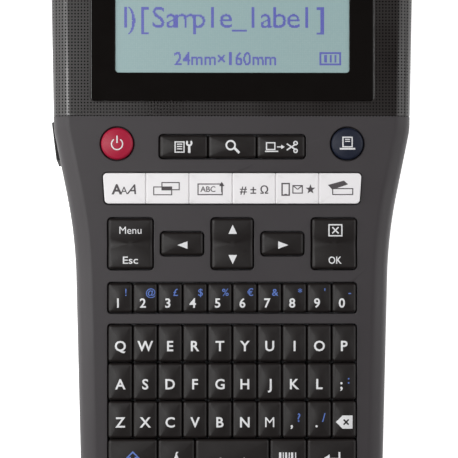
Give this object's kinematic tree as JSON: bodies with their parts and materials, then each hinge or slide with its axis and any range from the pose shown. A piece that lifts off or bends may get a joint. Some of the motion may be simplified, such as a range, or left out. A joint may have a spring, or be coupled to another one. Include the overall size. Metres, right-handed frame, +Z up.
{
  "type": "hand-held label maker",
  "caption": "Hand-held label maker: keyboard face, glossy display head with a dotted fascia, hinged back cover over a battery bay and a tape cassette with its print mechanism.",
  "frame": {"origin": "middle of the body's plan, on the plane that its back rests on", "axes": "+Z up out of the keys, +Y towards the tape exit, +X to the right of the keyboard"},
  "size_m": [0.1166, 0.244, 0.0615],
  "materials": {
    "casing_grey": "fine moulded grain",
    "head_grey": "square grid of fine dots",
    "back_grey": "fine moulded grain",
    "grip_rubber": "soft ribbed rubber",
    "lens_black": "high gloss",
    "lcd_glass": "grey-green liquid crystal panel",
    "key_black": "silky rubber",
    "key_white": "satin",
    "key_red": "satin",
    "key_navy": "satin",
    "mat_rubber": "plain silicone",
    "board_green": "solder resist",
    "cell_wrap": "printed wrap with plain bands",
    "spring_steel": "nickel plated",
    "screw_steel": "zinc plated",
    "chassis_steel": "pressed sheet",
    "nylon_white": "natural nylon",
    "platen_rubber": "ground rubber on a steel axle",
    "brass": "turned",
    "cassette_plastic": "pale moulded plastic",
    "tape_white": "laminated tape",
    "head_ceramic": "glazed ceramic",
    "socket_metal": "plated shell"
  },
  "bodies": {
    "root": {"front_casing": "casing_grey", "head_fascia": "head_grey", "display_lens": "lens_black", "lcd_module": "lcd_glass", "rear_casing": "back_grey", "grip_left": "grip_rubber", "grip_right": "grip_rubber", "casing_screws": "screw_steel", "main_board": "board_green", "port_sockets": "socket_metal", "keypad_mat": "mat_rubber", "keypad_board": "board_green", "battery_cells": "cell_wrap", "battery_contacts": "spring_steel", "mech_chassis": "chassis_steel", "drive_motor": "chassis_steel", "tape_cassette": "cassette_plastic"},
    "power_key": {"power_key": "key_red"},
    "print_key": {"print_key": "key_navy"},
    "setup_key": {"setup_key": "key_black"},
    "preview_key": {"preview_key": "key_black"},
    "feed_cut_key": {"feed_cut_key": "key_black"},
    "font_key": {"font_key": "key_white"},
    "frame_key": {"frame_key": "key_white"},
    "label_key": {"label_key": "key_white"},
    "symbol_key": {"symbol_key": "key_white"},
    "template_key": {"template_key": "key_white"},
    "file_key": {"file_key": "key_white"},
    "menu_esc_key": {"menu_esc_key": "key_black"},
    "up_down_key": {"up_down_key": "key_black"},
    "clear_ok_key": {"clear_ok_key": "key_black"},
    "left_key": {"left_key": "key_black"},
    "right_key": {"right_key": "key_black"},
    "digit_1_key": {"digit_1_key": "key_black"},
    "digit_2_key": {"digit_2_key": "key_black"},
    "digit_3_key": {"digit_3_key": "key_black"},
    "digit_4_key": {"digit_4_key": "key_black"},
    "digit_5_key": {"digit_5_key": "key_black"},
    "digit_6_key": {"digit_6_key": "key_black"},
    "digit_7_key": {"digit_7_key": "key_black"},
    "digit_8_key": {"digit_8_key": "key_black"},
    "digit_9_key": {"digit_9_key": "key_black"},
    "digit_0_key": {"digit_0_key": "key_black"},
    "shift_key": {"shift_key": "key_black"},
    "accent_key": {"accent_key": "key_black"},
    "space_key": {"space_key": "key_black"},
    "barcode_key": {"barcode_key": "key_black"},
    "enter_key": {"enter_key": "key_black"},
    "letter_keys": {"letter_keys": "key_black"},
    "back_cover": {"back_cover": "back_grey"},
    "cover_latch": {"cover_latch": "back_grey"},
    "port_flap": {"port_flap": "grip_rubber"},
    "head_arm": {"head_arm": "chassis_steel", "print_head": "head_ceramic"},
    "drive_gear": {"drive_gear": "nylon_white"},
    "motor_pinion": {"motor_pinion": "brass"},
    "platen_roller": {"platen_roller": "platen_rubber"},
    "ribbon_spindle": {"ribbon_spindle": "nylon_white"},
    "tape_roll": {"tape_roll": "tape_white"},
    "cutter_blade": {"cutter_blade": "screw_steel"}
  },
  "joints": [
    {"name": "cover_hinge", "type": "hinge", "parent": "root", "child": "back_cover", "pos_m": [0, -0.111, 0.0011], "axis": [-1, 0, 0], "range_deg": [0, 75]},
    {"name": "latch_press", "type": "slide", "parent": "root", "child": "cover_latch", "axis": [0, -1, 0], "range_m": [0, 0.002], "stiffness_N_per_m": 500},
    {"name": "port_flap_hinge", "type": "hinge", "parent": "root", "child": "port_flap", "pos_m": [-0.05678, 0.00329, 0.01], "axis": [0.1255, -0.9921, 0], "range_deg": [0, 100]},
    {"name": "head_arm_swing", "type": "hinge", "parent": "root", "child": "head_arm", "pos_m": [-0.0205, 0.0605, 0.02], "axis": [0, 0, -1], "range_deg": [0, 4], "stiffness_Nm_per_rad": 0.3},
    {"name": "drive_spin", "type": "hinge", "parent": "root", "child": "drive_gear", "pos_m": [-0.03113, 0.05191, 0.0344], "axis": [0, 0, 1], "continuous": true},
    {"name": "pinion_spin", "type": "hinge", "parent": "root", "child": "motor_pinion", "pos_m": [-0.04499, 0.03135, 0.0344], "axis": [0, 0, 1], "continuous": true},
    {"name": "platen_spin", "type": "hinge", "parent": "root", "child": "platen_roller", "pos_m": [-0.0305, 0.0775, 0.0344], "axis": [0, 0, 1], "continuous": true},
    {"name": "ribbon_spin", "type": "hinge", "parent": "root", "child": "ribbon_spindle", "pos_m": [-0.00198, 0.05705, 0.0344], "axis": [0, 0, 1], "continuous": true},
    {"name": "tape_roll_spin", "type": "hinge", "parent": "root", "child": "tape_roll", "pos_m": [0.009, 0.0835, 0.0344], "axis": [0, 0, 1], "continuous": true},
    {"name": "cutter_slide", "type": "slide", "parent": "root", "child": "cutter_blade", "axis": [1, 0, 0], "range_m": [0, 0.0045], "stiffness_N_per_m": 50},
    {"name": "power_press", "type": "slide", "parent": "root", "child": "power_key", "axis": [0, 0.0898, -0.996], "range_m": [0, 0.0008], "stiffness_N_per_m": 600, "deforming": ["keypad_mat"]},
    {"name": "print_press", "type": "slide", "parent": "root", "child": "print_key", "axis": [0, 0.0898, -0.996], "range_m": [0, 0.0008], "stiffness_N_per_m": 600, "deforming": ["keypad_mat"]},
    {"name": "setup_press", "type": "slide", "parent": "root", "child": "setup_key", "axis": [0, 0.0898, -0.996], "range_m": [0, 0.0008], "stiffness_N_per_m": 600, "deforming": ["keypad_mat"]},
    {"name": "preview_press", "type": "slide", "parent": "root", "child": "preview_key", "axis": [0, 0.0898, -0.996], "range_m": [0, 0.0008], "stiffness_N_per_m": 600, "deforming": ["keypad_mat"]},
    {"name": "feed_cut_press", "type": "slide", "parent": "root", "child": "feed_cut_key", "axis": [0, 0.0898, -0.996], "range_m": [0, 0.0008], "stiffness_N_per_m": 600, "deforming": ["keypad_mat"]},
    {"name": "font_press", "type": "slide", "parent": "root", "child": "font_key", "axis": [0, 0.0898, -0.996], "range_m": [0, 0.0008], "stiffness_N_per_m": 600, "deforming": ["keypad_mat"]},
    {"name": "frame_press", "type": "slide", "parent": "root", "child": "frame_key", "axis": [0, 0.0898, -0.996], "range_m": [0, 0.0008], "stiffness_N_per_m": 600, "deforming": ["keypad_mat"]},
    {"name": "label_press", "type": "slide", "parent": "root", "child": "label_key", "axis": [0, 0.0898, -0.996], "range_m": [0, 0.0008], "stiffness_N_per_m": 600, "deforming": ["keypad_mat"]},
    {"name": "symbol_press", "type": "slide", "parent": "root", "child": "symbol_key", "axis": [0, 0.0898, -0.996], "range_m": [0, 0.0008], "stiffness_N_per_m": 600, "deforming": ["keypad_mat"]},
    {"name": "template_press", "type": "slide", "parent": "root", "child": "template_key", "axis": [0, 0.0898, -0.996], "range_m": [0, 0.0008], "stiffness_N_per_m": 600, "deforming": ["keypad_mat"]},
    {"name": "file_press", "type": "slide", "parent": "root", "child": "file_key", "axis": [0, 0.0898, -0.996], "range_m": [0, 0.0008], "stiffness_N_per_m": 600, "deforming": ["keypad_mat"]},
    {"name": "menu_esc_rock", "type": "hinge", "parent": "root", "child": "menu_esc_key", "pos_m": [-0.03235, -0.03207, 0.0459], "axis": [1, 0, 0], "range_deg": [-2.5, 2.5], "stiffness_Nm_per_rad": 0.08, "deforming": ["keypad_mat"]},
    {"name": "up_down_rock", "type": "hinge", "parent": "root", "child": "up_down_key", "pos_m": [0, -0.03207, 0.0459], "axis": [1, 0, 0], "range_deg": [-2.5, 2.5], "stiffness_Nm_per_rad": 0.08, "deforming": ["keypad_mat"]},
    {"name": "clear_ok_rock", "type": "hinge", "parent": "root", "child": "clear_ok_key", "pos_m": [0.03235, -0.03207, 0.0459], "axis": [1, 0, 0], "range_deg": [-2.5, 2.5], "stiffness_Nm_per_rad": 0.08, "deforming": ["keypad_mat"]},
    {"name": "left_press", "type": "slide", "parent": "root", "child": "left_key", "axis": [0, 0.0898, -0.996], "range_m": [0, 0.0008], "stiffness_N_per_m": 600, "deforming": ["keypad_mat"]},
    {"name": "right_press", "type": "slide", "parent": "root", "child": "right_key", "axis": [0, 0.0898, -0.996], "range_m": [0, 0.0008], "stiffness_N_per_m": 600, "deforming": ["keypad_mat"]},
    {"name": "digit_1_press", "type": "slide", "parent": "root", "child": "digit_1_key", "axis": [0, 0.0898, -0.996], "range_m": [0, 0.0008], "stiffness_N_per_m": 600, "deforming": ["keypad_mat"]},
    {"name": "digit_2_press", "type": "slide", "parent": "root", "child": "digit_2_key", "axis": [0, 0.0898, -0.996], "range_m": [0, 0.0008], "stiffness_N_per_m": 600, "deforming": ["keypad_mat"]},
    {"name": "digit_3_press", "type": "slide", "parent": "root", "child": "digit_3_key", "axis": [0, 0.0898, -0.996], "range_m": [0, 0.0008], "stiffness_N_per_m": 600, "deforming": ["keypad_mat"]},
    {"name": "digit_4_press", "type": "slide", "parent": "root", "child": "digit_4_key", "axis": [0, 0.0898, -0.996], "range_m": [0, 0.0008], "stiffness_N_per_m": 600, "deforming": ["keypad_mat"]},
    {"name": "digit_5_press", "type": "slide", "parent": "root", "child": "digit_5_key", "axis": [0, 0.0898, -0.996], "range_m": [0, 0.0008], "stiffness_N_per_m": 600, "deforming": ["keypad_mat"]},
    {"name": "digit_6_press", "type": "slide", "parent": "root", "child": "digit_6_key", "axis": [0, 0.0898, -0.996], "range_m": [0, 0.0008], "stiffness_N_per_m": 600, "deforming": ["keypad_mat"]},
    {"name": "digit_7_press", "type": "slide", "parent": "root", "child": "digit_7_key", "axis": [0, 0.0898, -0.996], "range_m": [0, 0.0008], "stiffness_N_per_m": 600, "deforming": ["keypad_mat"]},
    {"name": "digit_8_press", "type": "slide", "parent": "root", "child": "digit_8_key", "axis": [0, 0.0898, -0.996], "range_m": [0, 0.0008], "stiffness_N_per_m": 600, "deforming": ["keypad_mat"]},
    {"name": "digit_9_press", "type": "slide", "parent": "root", "child": "digit_9_key", "axis": [0, 0.0898, -0.996], "range_m": [0, 0.0008], "stiffness_N_per_m": 600, "deforming": ["keypad_mat"]},
    {"name": "digit_0_press", "type": "slide", "parent": "root", "child": "digit_0_key", "axis": [0, 0.0898, -0.996], "range_m": [0, 0.0008], "stiffness_N_per_m": 600, "deforming": ["keypad_mat"]},
    {"name": "shift_press", "type": "slide", "parent": "root", "child": "shift_key", "axis": [0, 0.0898, -0.996], "range_m": [0, 0.0008], "stiffness_N_per_m": 600, "deforming": ["keypad_mat"]},
    {"name": "accent_press", "type": "slide", "parent": "root", "child": "accent_key", "axis": [0, 0.0898, -0.996], "range_m": [0, 0.0008], "stiffness_N_per_m": 600, "deforming": ["keypad_mat"]},
    {"name": "space_press", "type": "slide", "parent": "root", "child": "space_key", "axis": [0, 0.0898, -0.996], "range_m": [0, 0.0008], "stiffness_N_per_m": 600, "deforming": ["keypad_mat"]},
    {"name": "barcode_press", "type": "slide", "parent": "root", "child": "barcode_key", "axis": [0, 0.0898, -0.996], "range_m": [0, 0.0008], "stiffness_N_per_m": 600, "deforming": ["keypad_mat"]},
    {"name": "enter_press", "type": "slide", "parent": "root", "child": "enter_key", "axis": [0, 0.0898, -0.996], "range_m": [0, 0.0008], "stiffness_N_per_m": 600, "deforming": ["keypad_mat"]},
    {"name": "letter_keys_press", "type": "slide", "parent": "root", "child": "letter_keys", "axis": [0, 0.0898, -0.996], "range_m": [0, 0.0008], "stiffness_N_per_m": 3000, "deforming": ["keypad_mat"]}
  ],
  "couplings": [
    {"joint": "pinion_spin", "follows": "drive_spin", "ratio": -4.1667},
    {"joint": "platen_spin", "follows": "drive_spin", "ratio": -3.5714},
    {"joint": "ribbon_spin", "follows": "drive_spin", "ratio": -2.0833},
    {"joint": "tape_roll_spin", "follows": "drive_spin", "ratio": -0.69444}
  ]
}
